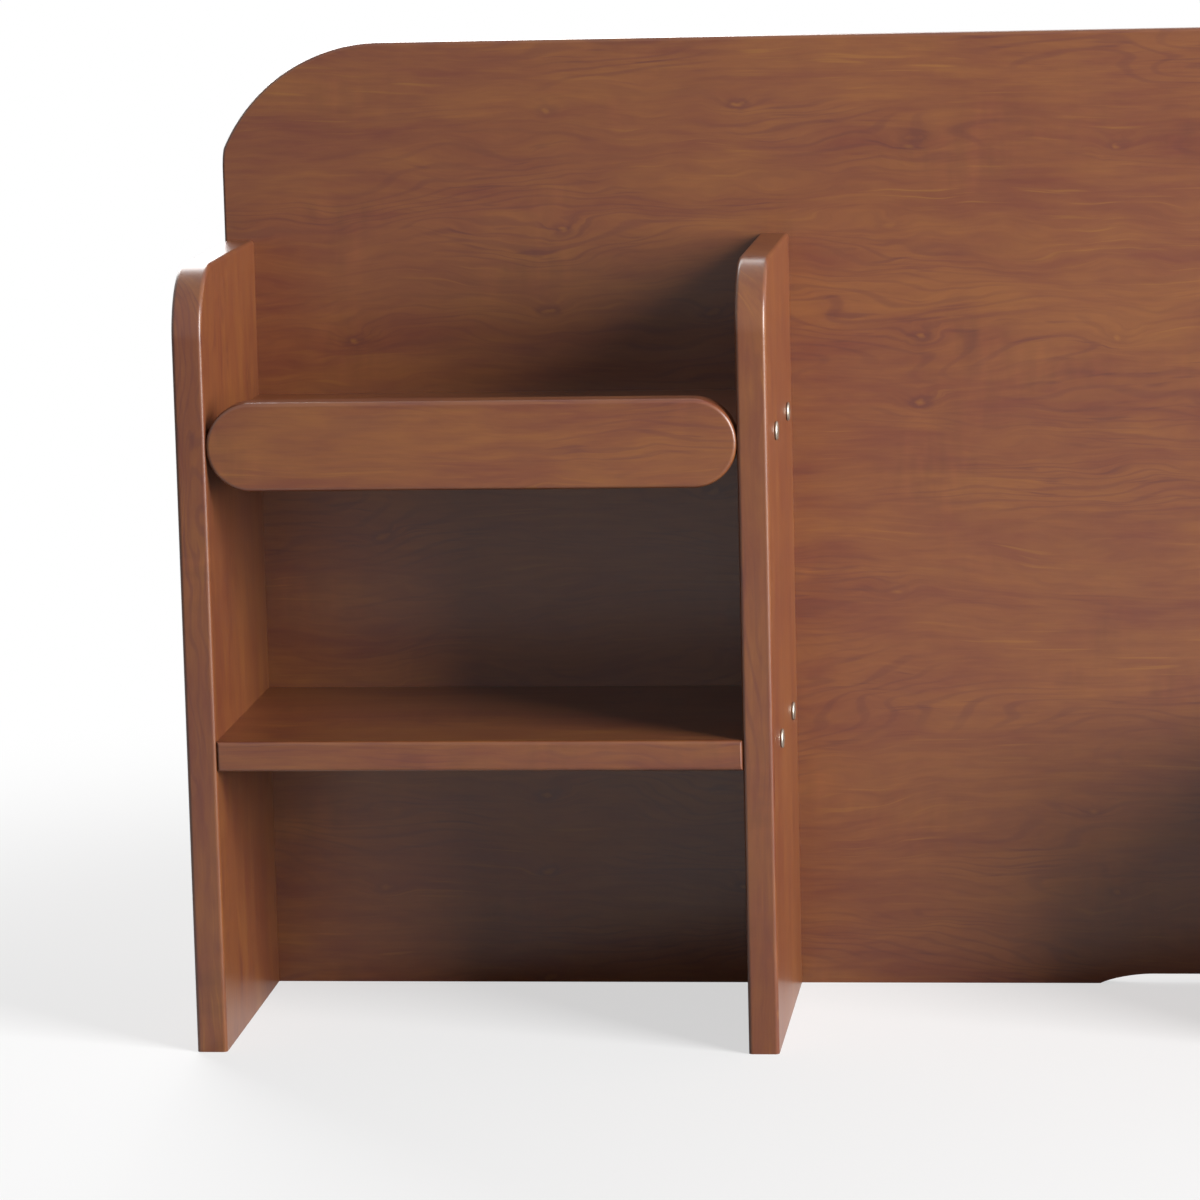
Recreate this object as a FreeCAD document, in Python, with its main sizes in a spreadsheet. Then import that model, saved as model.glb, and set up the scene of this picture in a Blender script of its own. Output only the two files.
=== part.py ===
import FreeCAD, Part
import math
import os
import Sketcher

# Desk hutch, in millimetres.  X runs to the right, Y to the rear, Z up.
# The origin is the centre of the foot print, on the desk top.

SIZES = {
    # back panel
    "panel_width": 1184,
    "panel_height": 584,
    "panel_thickness": 9,
    "panel_corner": 107,
    "panel_corner_inset": 98.5,
    "panel_corner_blend": 10,
    "panel_round": 2,
    "notch_length": 124,
    "notch_height": 6,
    "notch_run": 12,
    "notch_round": 20,
    # boards of both shelf units
    "board": 18,
    "board_round": 2.5,
    "unit_depth": 180,
    # tall unit at the left end
    "tall_height": 465,
    "tall_corner": 42,
    "tall_bay": 310,
    "lower_shelf_top": 187,
    "upper_shelf_top": 370,
    # front rail of the upper shelf
    "rail_height": 52,
    "rail_thickness": 18,
    # low unit at the right end
    "low_bay": 480,
    # connecting bolts and their barrel nuts
    "bolt_from_front": 54,
    "bolt_spacing": 88,
    "bolt_diameter": 6,
    "bolt_head_diameter": 11.5,
    "bolt_head_height": 2,
    "bolt_head_round": 1.6,
    "bolt_reach": 40,
    "nut_diameter": 10,
    "nut_length": 14,
    "nut_setback": 32,
    # wooden dowels
    "dowel_diameter": 8,
    "dowel_length": 30,
    "dowel_bevel": 0.8,
    "dowel_in_upright": 12,
    "dowel_from_front": 30,
    "dowel_spacing": 74,
    # countersunk screws through the back panel
    "screw_diameter": 4,
    "screw_head_diameter": 8,
    "screw_length": 32,
    "screw_point": 6,
    "screw_from_end": 40,
    # threaded inserts in the feet
    "insert_diameter": 9.6,
    "insert_length": 14,
    "insert_core": 5,
    "insert_from_front": 40,
    "insert_spacing": 100,
    # free room around every fastener, on the radius
    "play": 0.1,
}

DERIVED = {
    "half_width": "sheet.panel_width / 2",
    "total_depth": "sheet.unit_depth + sheet.panel_thickness",
    "front": "-sheet.total_depth / 2",
    "panel_front": "sheet.front + sheet.unit_depth",
    "tall_outer_x": "-sheet.half_width",
    "tall_shelf_x": "sheet.tall_outer_x + sheet.board",
    "tall_inner_x": "sheet.tall_shelf_x + sheet.tall_bay",
    "low_height": "sheet.lower_shelf_top",
    "low_outer_x": "sheet.half_width - sheet.board",
    "low_shelf_x": "sheet.low_outer_x - sheet.low_bay",
    "low_inner_x": "sheet.low_shelf_x - sheet.board",
    "upper_shelf_depth": "sheet.unit_depth - sheet.rail_thickness",
    "upper_shelf_y": "sheet.front + sheet.rail_thickness",
    "lower_axis": "sheet.lower_shelf_top - sheet.board / 2",
    "upper_axis": "sheet.upper_shelf_top - sheet.board / 2",
    "shelf_step": "sheet.upper_shelf_top - sheet.lower_shelf_top",
    "bolt_shank": "sheet.board + sheet.bolt_reach",
    "bolt_y": "sheet.front + sheet.bolt_from_front",
    "dowel_y": "sheet.front + sheet.dowel_from_front",
    "dowel_in_shelf": "sheet.dowel_length - sheet.dowel_in_upright",
    "nut_reach": "sheet.tall_bay - 2 * sheet.nut_setback",
    "low_nut_reach": "sheet.low_bay - 2 * sheet.nut_setback",
    "bolt_bore": "sheet.bolt_diameter / 2 + sheet.play",
    "nut_bore": "sheet.nut_diameter / 2 + sheet.play",
    "nut_depth": "sheet.board / 2 + sheet.nut_length / 2",
    "dowel_bore": "sheet.dowel_diameter / 2 + sheet.play",
    "screw_bore": "sheet.screw_diameter / 2 + sheet.play",
    "screw_sink": "(sheet.screw_head_diameter - sheet.screw_diameter) / 2",
    "screw_reach": "sheet.screw_length - sheet.panel_thickness + 1",
    "insert_bore": "sheet.insert_diameter / 2 + sheet.play",
    "insert_y": "sheet.front + sheet.insert_from_front",
    "insert_sink": "sheet.insert_length + 1",
    "tall_screw_step": "(sheet.tall_height - 2 * sheet.screw_from_end) / 3",
    "low_screw_step": "sheet.low_height - 2 * sheet.screw_from_end",
    "shelf_screw_inset": "sheet.tall_bay / 4",
    "low_shelf_screw_inset": "sheet.low_bay / 8",
}

doc = FreeCAD.newDocument("DeskHutch")


def build_sheet():
    """Put every driving size, then every derived one, in the spreadsheet."""
    sheet = doc.addObject("Spreadsheet::Sheet", "sheet")
    rows = list(SIZES.items())
    rows += [(name, "=" + rule.replace("sheet.", "")) for name, rule in DERIVED.items()]
    for row, (name, content) in enumerate(rows, start=1):
        sheet.set("A%d" % row, name)
        sheet.set("B%d" % row, str(content))
        sheet.setAlias("B%d" % row, name)
    doc.recompute()
    return sheet


sheet = build_sheet()


def value(rule):
    """Work out a rule such as "sheet.board / 2" as a number."""
    return float(sheet.evalExpression(rule))


def origin_feature(body, role):
    """The origin plane or axis of a body that has the given role."""
    return next(item for item in body.Origin.OriginFeatures if item.Role == role)


def new_body(name, x="0", y="0", z="0"):
    """A body placed by three rules."""
    body = doc.addObject("PartDesign::Body", name)
    body.Label = name
    for axis, rule in zip("xyz", (x, y, z)):
        body.setExpression("Placement.Base." + axis, rule)
    return body


def new_sketch(body, name, plane, offset="0"):
    """A sketch on an origin plane, moved along the plane's normal by a rule."""
    sketch = body.newObject("Sketcher::SketchObject", name)
    sketch.AttachmentSupport = [(origin_feature(body, plane), "")]
    sketch.MapMode = "FlatFace"
    sketch.setExpression("AttachmentOffset.Base.z", offset)
    return sketch


def bind(sketch, kind, first, second, rule, label):
    """Dimension two sketch points apart along X or Y by a rule."""
    index = sketch.addConstraint(Sketcher.Constraint(kind, *first, *second, value(rule)))
    sketch.renameConstraint(index, label)
    sketch.setExpression("Constraints." + label, rule)


def pin_point(sketch, geometry, vertex, x_rule, y_rule, label):
    """Hold one vertex of a sketch at two rules from the sketch origin."""
    bind(sketch, "DistanceX", (-1, 1), (geometry, vertex), x_rule, label + "_x")
    bind(sketch, "DistanceY", (-1, 1), (geometry, vertex), y_rule, label + "_y")


def draw_polygon(sketch, corners):
    """A closed outline whose corners are pairs of rules."""
    points = [FreeCAD.Vector(value(x), value(y), 0) for x, y in corners]
    count = len(points)
    for index in range(count):
        line = Part.LineSegment(points[index], points[(index + 1) % count])
        sketch.addGeometry(line)
    for index in range(count):
        joined = Sketcher.Constraint("Coincident", index, 2, (index + 1) % count, 1)
        sketch.addConstraint(joined)
    for index, (x_rule, y_rule) in enumerate(corners):
        pin_point(sketch, index, 1, x_rule, y_rule, "corner%d" % index)


def draw_circles(sketch, centres, radius):
    """Circles of one radius at pairs of rules."""
    for index, (x_rule, y_rule) in enumerate(centres):
        centre = FreeCAD.Vector(value(x_rule), value(y_rule), 0)
        circle = Part.Circle(centre, FreeCAD.Vector(0, 0, 1), value(radius))
        geometry = sketch.addGeometry(circle)
        pin_point(sketch, geometry, 3, x_rule, y_rule, "centre%d" % index)
        size = sketch.addConstraint(Sketcher.Constraint("Radius", geometry, value(radius)))
        sketch.renameConstraint(size, "radius%d" % index)
        sketch.setExpression("Constraints.radius%d" % index, radius)


def draw_arc(sketch, centre, radius, start, end):
    """An arc from one direction to another, in degrees, with a ruled centre and radius."""
    middle = FreeCAD.Vector(value(centre[0]), value(centre[1]), 0)
    circle = Part.Circle(middle, FreeCAD.Vector(0, 0, 1), value(radius))
    arc = Part.ArcOfCircle(circle, math.radians(start), math.radians(end))
    index = sketch.addGeometry(arc)
    label = "arc%d" % index
    pin_point(sketch, index, 3, centre[0], centre[1], label)
    size = sketch.addConstraint(Sketcher.Constraint("Radius", index, value(radius)))
    sketch.renameConstraint(size, label + "_radius")
    sketch.setExpression("Constraints." + label + "_radius", radius)
    return index


def draw_line(sketch, first, second):
    """A line between two vertices, each given as a geometry and a vertex number."""
    ends = [sketch.getPoint(*first), sketch.getPoint(*second)]
    index = sketch.addGeometry(Part.LineSegment(*ends))
    sketch.addConstraint(Sketcher.Constraint("Coincident", index, 1, *first))
    sketch.addConstraint(Sketcher.Constraint("Coincident", index, 2, *second))
    return index


def finish(body, feature):
    """Make a feature the body's result and recompute."""
    body.Tip = feature
    doc.recompute()
    return feature


def pad(body, sketch, length, backwards=False):
    """Pad a sketch by a rule, along its normal or against it."""
    feature = body.newObject("PartDesign::Pad", "Pad")
    feature.Profile = sketch
    feature.setExpression("Length", length)
    feature.Reversed = backwards
    return finish(body, feature)


def pocket(body, sketch, depth, along_normal=False):
    """Pocket a sketch by a rule, against its normal or along it."""
    before = body.Shape.Volume
    feature = body.newObject("PartDesign::Pocket", "Pocket")
    feature.Profile = sketch
    feature.setExpression("Length", depth)
    feature.Reversed = along_normal
    finish(body, feature)
    if not body.Shape.Volume < before:
        raise RuntimeError("a pocket of %s removes nothing" % body.Label)
    return feature


def bore(body, name, plane, offset, centres, radius, depth, along_normal):
    """Round holes of one size, sunk from a plane parallel to an origin plane."""
    sketch = new_sketch(body, name, plane, offset)
    draw_circles(sketch, centres, radius)
    return pocket(body, sketch, depth, along_normal)


def dress(body, kind, size_name, rule, chosen):
    """Fillet or chamfer the edges of the present result that a test picks."""
    base = body.Tip
    names = ["Edge%d" % (number + 1)
             for number, edge in enumerate(base.Shape.Edges) if chosen(edge)]
    feature = body.newObject("PartDesign::" + kind, kind)
    feature.Base = (base, names)
    feature.setExpression(size_name, rule)
    return finish(body, feature)


def near(first, second):
    """Whether two lengths agree."""
    return abs(first - second) < 1e-4


def upright(name, x, height, bay_on_right, corner, shelf_axes, rail_dowel):
    """An upright board with its bores; its profile is drawn from the side."""
    body = new_body(name, x, "sheet.front", "0")
    depth = "sheet.unit_depth"
    outline = new_sketch(body, name + "_profile", "YZ_Plane")
    draw_polygon(outline, [("0", "0"), (depth, "0"), (depth, height), ("0", height)])
    pad(body, outline, "sheet.board")
    if corner:
        dress(body, "Fillet", "Radius", corner, lambda edge: is_top_front(edge, value(height)))
    dress(body, "Fillet", "Radius", "sheet.board_round",
          lambda edge: is_showing_rim(edge, value(depth)))
    bay_face = "sheet.board" if bay_on_right else "0"
    for number, axis in enumerate(shelf_axes):
        rows = [("sheet.bolt_from_front + %d * sheet.bolt_spacing" % step, axis)
                for step in range(2)]
        bore(body, "%s_bolt_bores%d" % (name, number), "YZ_Plane", "0", rows,
             "sheet.bolt_bore", "sheet.board", True)
        rows = [("sheet.dowel_from_front + %d * sheet.dowel_spacing" % step, axis)
                for step in range(2)]
        if rail_dowel and number == len(shelf_axes) - 1:
            rows.append(("sheet.rail_thickness / 2", axis))
        bore(body, "%s_dowel_bores%d" % (name, number), "YZ_Plane", bay_face, rows,
             "sheet.dowel_bore", "sheet.dowel_in_upright", not bay_on_right)
    return body


def is_top_front(edge, height):
    """Whether an edge of an upright is the one at the top of its front."""
    box = edge.BoundBox
    return near(box.YMax, 0) and near(box.ZMin, height)


def is_showing_rim(edge, depth):
    """Whether an edge lies in a side face, along the front, the corner or the top."""
    box = edge.BoundBox
    in_side_face = box.XLength < 1e-4
    at_back = near(box.YMin, depth)
    at_foot = near(box.ZMax, 0)
    return in_side_face and not at_back and not at_foot


def add_foot_bores(body):
    """Two blind bores for the threaded inserts in an upright's foot."""
    rows = [("sheet.board / 2", "sheet.insert_from_front + %d * sheet.insert_spacing" % step)
            for step in range(2)]
    bore(body, body.Name + "_foot_bores", "XY_Plane", "0", rows,
         "sheet.insert_bore", "sheet.insert_sink", True)


def add_back_bores(body, rear, centres):
    """Blind bores for the back screws in the rear edge of a board."""
    bore(body, body.Name + "_screw_bores", "XZ_Plane", "-" + rear, centres,
         "sheet.screw_bore", "sheet.screw_reach", True)


def screw_heights(step, count):
    """Rules for the heights of the back screws of one upright."""
    return ["sheet.screw_from_end + %d * %s" % (number, step) for number in range(count)]


def tall_upright(name, x, bay_on_right):
    """One of the two uprights of the tall unit."""
    body = upright(name, x, "sheet.tall_height", bay_on_right, "sheet.tall_corner",
                   ["sheet.lower_axis", "sheet.upper_axis"], True)
    add_foot_bores(body)
    add_back_bores(body, "sheet.unit_depth",
                   [("sheet.board / 2", z) for z in screw_heights("sheet.tall_screw_step", 4)])


def low_upright(name, x, bay_on_right):
    """One of the two uprights of the low unit, level with its shelf."""
    body = upright(name, x, "sheet.low_height", bay_on_right, None, ["sheet.lower_axis"], False)
    add_foot_bores(body)
    add_back_bores(body, "sheet.unit_depth",
                   [("sheet.board / 2", z) for z in screw_heights("sheet.low_screw_step", 2)])


def shelf(name, x, top, length, setback, screw_places):
    """A shelf between two uprights, bored for bolts, nuts, dowels and back screws."""
    depth = "(sheet.unit_depth - %s)" % setback
    body = new_body(name, x, "sheet.front + " + setback, top + " - sheet.board")
    outline = new_sketch(body, name + "_plan", "XY_Plane")
    draw_polygon(outline, [("0", "0"), (length, "0"), (length, depth), ("0", depth)])
    pad(body, outline, "sheet.board")
    if setback == "0":
        dress(body, "Fillet", "Radius", "sheet.board_round", is_front_rim)
    bolts = [("sheet.bolt_from_front + %d * sheet.bolt_spacing - %s" % (step, setback),
              "sheet.board / 2") for step in range(2)]
    dowels = [("sheet.dowel_from_front + %d * sheet.dowel_spacing - %s" % (step, setback),
               "sheet.board / 2") for step in range(2)]
    for end, offset, inwards in (("left", "0", True), ("right", length, False)):
        bore(body, "%s_%s_bolt_bores" % (name, end), "YZ_Plane", offset, bolts,
             "sheet.bolt_bore", "sheet.bolt_reach + 2 * sheet.play", inwards)
        bore(body, "%s_%s_dowel_bores" % (name, end), "YZ_Plane", offset, dowels,
             "sheet.dowel_bore", "sheet.dowel_in_shelf + 1", inwards)
    nuts = [(x_rule, y_rule) for x_rule in ("sheet.nut_setback", length + " - sheet.nut_setback")
            for y_rule, _ in bolts]
    bore(body, name + "_nut_bores", "XY_Plane", "0", nuts,
         "sheet.nut_bore", "sheet.nut_depth", True)
    add_back_bores(body, depth, [(place, "sheet.board / 2") for place in screw_places])
    return body


def is_front_rim(edge):
    """Whether an edge borders the front face of a board."""
    return near(edge.BoundBox.YMax, 0)


def front_rail():
    """The pill-shaped rail in front of the upper shelf."""
    body = new_body("left_rail", "sheet.tall_shelf_x", "sheet.front", "sheet.upper_axis")
    outline = new_sketch(body, "rail_front", "XZ_Plane")
    radius = "sheet.rail_height / 2"
    left = draw_arc(outline, (radius, "0"), radius, 90, 270)
    right = draw_arc(outline, ("sheet.tall_bay - " + radius, "0"), radius, -90, 90)
    for arc, centre in ((left, radius), (right, "sheet.tall_bay - " + radius)):
        for vertex in (1, 2):
            bind(outline, "DistanceX", (-1, 1), (arc, vertex), centre,
                 "end%d_%d" % (arc, vertex))
    draw_line(outline, (left, 2), (right, 1))
    draw_line(outline, (right, 2), (left, 1))
    pad(body, outline, "sheet.rail_thickness", True)
    dress(body, "Fillet", "Radius", "sheet.board_round", is_flat_across)
    middle = "sheet.rail_thickness / 2"
    for end, offset, inwards in (("left", "0", True), ("right", "sheet.tall_bay", False)):
        bore(body, "rail_%s_end_bore" % end, "YZ_Plane", offset, [(middle, "0")],
             "sheet.dowel_bore", "sheet.dowel_in_shelf + 1", inwards)
    centres = [(x, "0") for x in rail_dowel_places()]
    bore(body, "rail_back_bores", "XZ_Plane", "-sheet.rail_thickness", centres,
         "sheet.dowel_bore", "sheet.dowel_in_upright", True)


def is_flat_across(edge):
    """Whether an edge lies in a plane parallel to the front."""
    return edge.BoundBox.YLength < 1e-4


def rail_dowel_places():
    """Rules for the three dowels between the rail and the upper shelf."""
    return ["sheet.bolt_from_front + %d * (sheet.tall_bay / 2 - sheet.bolt_from_front)" % step
            for step in range(3)]


def add_rail_bores(body):
    """Bores in the front edge of the upper shelf for the rail's dowels."""
    centres = [(x, "sheet.board / 2") for x in rail_dowel_places()]
    bore(body, "shelf_front_bores", "XZ_Plane", "0", centres,
         "sheet.dowel_bore", "sheet.dowel_in_shelf + 1", False)


def panel_screw_places():
    """Rules for every screw through the back panel, as pairs of X and Z."""
    tall = screw_heights("sheet.tall_screw_step", 4)
    low = screw_heights("sheet.low_screw_step", 2)
    columns = [("sheet.tall_outer_x", tall), ("sheet.tall_inner_x", tall),
               ("sheet.low_inner_x", low), ("sheet.low_outer_x", low)]
    places = [(x + " + sheet.board / 2", z) for x, heights in columns for z in heights]
    for axis in ("sheet.lower_axis", "sheet.upper_axis"):
        places += [("sheet.tall_shelf_x + " + x, axis) for x in tall_shelf_screws()]
    places += [("sheet.low_shelf_x + " + x, "sheet.lower_axis") for x in low_shelf_screws()]
    return places


def tall_shelf_screws():
    """Rules for the back screws of a shelf of the tall unit, from its left end."""
    return ["sheet.shelf_screw_inset", "sheet.tall_bay - sheet.shelf_screw_inset"]


def low_shelf_screws():
    """Rules for the back screws of the low shelf, from its left end."""
    return ["sheet.low_shelf_screw_inset", "sheet.low_bay / 2",
            "sheet.low_bay - sheet.low_shelf_screw_inset"]


def back_panel():
    """The back panel: rounded top corners, a cable notch and countersunk holes."""
    body = new_body("back_panel", "0", "sheet.panel_front", "0")
    outline = new_sketch(body, "panel_front_outline", "XZ_Plane")
    inner = "sheet.half_width - sheet.panel_corner_inset"
    level = "sheet.panel_height - sheet.panel_corner"
    kink = math.degrees(math.acos(value("sheet.panel_corner_inset / sheet.panel_corner")))
    left = draw_arc(outline, ("-(%s)" % inner, level), "sheet.panel_corner", 90, 180 - kink)
    right = draw_arc(outline, (inner, level), "sheet.panel_corner", kink, 90)
    bind(outline, "DistanceX", (-1, 1), (left, 1), "-(%s)" % inner, "left_top")
    bind(outline, "DistanceX", (-1, 1), (right, 2), inner, "right_top")
    bind(outline, "DistanceX", (-1, 1), (left, 2), "-sheet.half_width", "left_side")
    bind(outline, "DistanceX", (-1, 1), (right, 1), "sheet.half_width", "right_side")
    draw_line(outline, (left, 1), (right, 2))
    foot = value("sheet.half_width")
    base = outline.addGeometry(Part.LineSegment(FreeCAD.Vector(-foot, 0, 0),
                                                FreeCAD.Vector(foot, 0, 0)))
    pin_point(outline, base, 1, "-sheet.half_width", "0", "left_foot")
    pin_point(outline, base, 2, "sheet.half_width", "0", "right_foot")
    draw_line(outline, (left, 2), (base, 1))
    draw_line(outline, (right, 1), (base, 2))
    pad(body, outline, "sheet.panel_thickness", True)
    dress(body, "Fillet", "Radius", "sheet.panel_corner_blend", is_corner_kink)
    dress(body, "Fillet", "Radius", "sheet.panel_round", is_panel_rim)
    cut_notch(body)
    bore(body, "panel_screw_bores", "XZ_Plane", "-sheet.panel_thickness",
         panel_screw_places(), "sheet.screw_bore", "sheet.panel_thickness", True)
    dress(body, "Chamfer", "Size", "sheet.screw_sink - sheet.play", is_screw_mouth)


def is_corner_kink(edge):
    """Whether an edge is the crease where a panel corner meets the panel's side."""
    box = edge.BoundBox
    across = near(box.YLength, value("sheet.panel_thickness"))
    at_side = near(abs(box.XMin), value("sheet.half_width"))
    return across and at_side and box.ZMin > 1


def is_panel_rim(edge):
    """Whether an edge runs round the panel's outline, apart from its foot."""
    box = edge.BoundBox
    return box.YLength < 1e-4 and box.ZMax > 1


def is_screw_mouth(edge):
    """Whether an edge is the rear mouth of a screw hole."""
    at_back = near(edge.BoundBox.YMin, value("sheet.panel_thickness"))
    is_round = isinstance(edge.Curve, Part.Circle)
    return at_back and is_round and near(edge.Curve.Radius, value("sheet.screw_bore"))


def cut_notch(body):
    """The long low cable notch in the middle of the panel's foot."""
    notch = new_sketch(body, "cable_notch", "XZ_Plane", "0")
    half = "sheet.notch_length / 2"
    height = "sheet.notch_height"
    draw_polygon(notch, [("-" + half, "0"), (half, "0"),
                         (half + " - sheet.notch_run", height),
                         ("sheet.notch_run - " + half, height)])
    pocket(body, notch, "sheet.panel_thickness")
    dress(body, "Fillet", "Radius", "sheet.notch_round", is_notch_shoulder)


def is_notch_shoulder(edge):
    """Whether an edge is one of the two upper corners of the cable notch."""
    box = edge.BoundBox
    across = near(box.YLength, value("sheet.panel_thickness"))
    at_top = near(box.ZMin, value("sheet.notch_height"))
    return across and at_top and abs(box.XMin) < value("sheet.notch_length")


TURNS = {
    "right": FreeCAD.Rotation(FreeCAD.Vector(0, 0, 1), 0),
    "left": FreeCAD.Rotation(FreeCAD.Vector(0, 0, 1), 180),
    "rear": FreeCAD.Rotation(FreeCAD.Vector(0, 0, 1), 90),
    "front": FreeCAD.Rotation(FreeCAD.Vector(0, 0, 1), -90),
    "up": FreeCAD.Rotation(FreeCAD.Vector(0, 1, 0), -90),
}


def turned_body(name, points_to, x, y, z):
    """A body whose own X axis points to one of the named directions."""
    body = new_body(name)
    body.Placement = FreeCAD.Placement(FreeCAD.Vector(), TURNS[points_to])
    for axis, rule in zip("xyz", (x, y, z)):
        body.setExpression("Placement.Base." + axis, rule)
    doc.recompute()
    return body


def revolve(body, profile):
    """Turn a half profile, given as rules along and away from the body's X axis."""
    sketch = new_sketch(body, body.Name + "_profile", "XY_Plane")
    draw_polygon(sketch, profile)
    feature = body.newObject("PartDesign::Revolution", "Turning")
    feature.Profile = sketch
    feature.ReferenceAxis = (sketch, ["H_Axis"])
    feature.Angle = 360
    return finish(body, feature)


def repeat(body, first, second=None):
    """Copy the whole result along one or two of the body's axes.

    Each direction is an axis role, the rule for its whole length and a count.
    """
    feature = body.newObject("PartDesign::LinearPattern", "Copies")
    feature.TransformMode = "Whole shape"
    feature.Direction = (origin_feature(body, first[0]), [""])
    feature.setExpression("Length", first[1])
    feature.Occurrences = first[2]
    if second:
        feature.Direction2 = (origin_feature(body, second[0]), [""])
        feature.setExpression("Length2", second[1])
        feature.Occurrences2 = second[2]
    return finish(body, feature)


def bolts(name, points_to, x, y, first_axis, rows):
    """Domed connecting bolts: two along Y in each of the given number of rows."""
    body = turned_body(name, points_to, x, y, first_axis)
    shank = "sheet.bolt_diameter / 2"
    head = "sheet.bolt_head_diameter / 2"
    revolve(body, [("-sheet.bolt_head_height", "0"), ("sheet.bolt_shank", "0"),
                   ("sheet.bolt_shank", shank), ("0", shank), ("0", head),
                   ("-sheet.bolt_head_height", head)])
    dress(body, "Fillet", "Radius", "sheet.bolt_head_round", is_head_rim)
    rows_up = ("Z_Axis", "sheet.shelf_step", rows) if rows > 1 else None
    repeat(body, ("Y_Axis", "sheet.bolt_spacing", 2), rows_up)


def is_head_rim(edge):
    """Whether an edge is the outer rim of a bolt head's free face."""
    box = edge.BoundBox
    at_face = near(box.XMax, -value("sheet.bolt_head_height"))
    return at_face and near(box.YLength, value("sheet.bolt_head_diameter"))


def barrel_nuts(name, right_end, top, reach):
    """Four barrel nuts standing in the under side of a shelf."""
    level = "%s - sheet.board / 2 - sheet.nut_length / 2" % top
    body = turned_body(name, "up", right_end + " - sheet.nut_setback", "sheet.bolt_y", level)
    radius = "sheet.nut_diameter / 2"
    revolve(body, [("0", "0"), ("sheet.nut_length", "0"),
                   ("sheet.nut_length", radius), ("0", radius)])
    bore(body, name + "_cross_bore", "XY_Plane", "-sheet.nut_diameter",
         [("sheet.nut_length / 2", "0")], "sheet.bolt_bore", "2 * sheet.nut_diameter", True)
    repeat(body, ("Z_Axis", reach, 2), ("Y_Axis", "sheet.bolt_spacing", 2))


def dowel(name, points_to, x, y, z):
    """One wooden dowel with broken edges at its ends."""
    body = turned_body(name, points_to, x, y, z)
    radius = "sheet.dowel_diameter / 2"
    revolve(body, [("0", "0"), ("sheet.dowel_length", "0"),
                   ("sheet.dowel_length", radius), ("0", radius)])
    dress(body, "Chamfer", "Size", "sheet.dowel_bevel", is_turned_rim)
    return body


def is_turned_rim(edge):
    """Whether an edge is a full circle about the body's X axis."""
    return edge.BoundBox.XLength < 1e-4 and isinstance(edge.Curve, Part.Circle)


def shelf_dowels(name, left_end, axis, bay):
    """Two dowels in each end of a shelf."""
    body = dowel(name, "right", left_end + " - sheet.dowel_in_upright", "sheet.dowel_y", axis)
    reach = "%s + 2 * sheet.dowel_in_upright - sheet.dowel_length" % bay
    repeat(body, ("X_Axis", reach, 2), ("Y_Axis", "sheet.dowel_spacing", 2))


def rail_dowels():
    """Dowels from the rail into the upper shelf and into the uprights."""
    across = dowel("rail_shelf_dowels", "rear",
                   "sheet.tall_inner_x - sheet.bolt_from_front",
                   "sheet.upper_shelf_y - sheet.dowel_in_upright", "sheet.upper_axis")
    repeat(across, ("Y_Axis", "sheet.tall_bay - 2 * sheet.bolt_from_front", 3))
    ends = dowel("rail_end_dowels", "right", "sheet.tall_shelf_x - sheet.dowel_in_upright",
                 "sheet.front + sheet.rail_thickness / 2", "sheet.upper_axis")
    reach = "sheet.tall_bay + 2 * sheet.dowel_in_upright - sheet.dowel_length"
    repeat(ends, ("X_Axis", reach, 2))


def back_screws(name, x, z, across, upwards):
    """Countersunk screws entering from the rear, copied across and upwards."""
    body = turned_body(name, "front", x, "sheet.panel_front + sheet.panel_thickness", z)
    shank = "sheet.screw_diameter / 2"
    head = "sheet.screw_head_diameter / 2"
    revolve(body, [("0", "0"), ("sheet.screw_length", "0"),
                   ("sheet.screw_length - sheet.screw_point", shank),
                   ("sheet.screw_sink", shank), ("0", head)])
    directions = []
    if across[1] > 1:
        directions.append(("Y_Axis",) + across)
    if upwards[1] > 1:
        directions.append(("Z_Axis",) + upwards)
    repeat(body, *directions)


def foot_inserts(name, right_x, reach):
    """Four threaded inserts, flush with the feet of one unit."""
    body = turned_body(name, "up", right_x + " + sheet.board / 2", "sheet.insert_y", "0")
    core = "sheet.insert_core / 2"
    outside = "sheet.insert_diameter / 2"
    revolve(body, [("0", core), ("sheet.insert_length", core),
                   ("sheet.insert_length", outside), ("0", outside)])
    repeat(body, ("Z_Axis", reach, 2), ("Y_Axis", "sheet.insert_spacing", 2))


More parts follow.
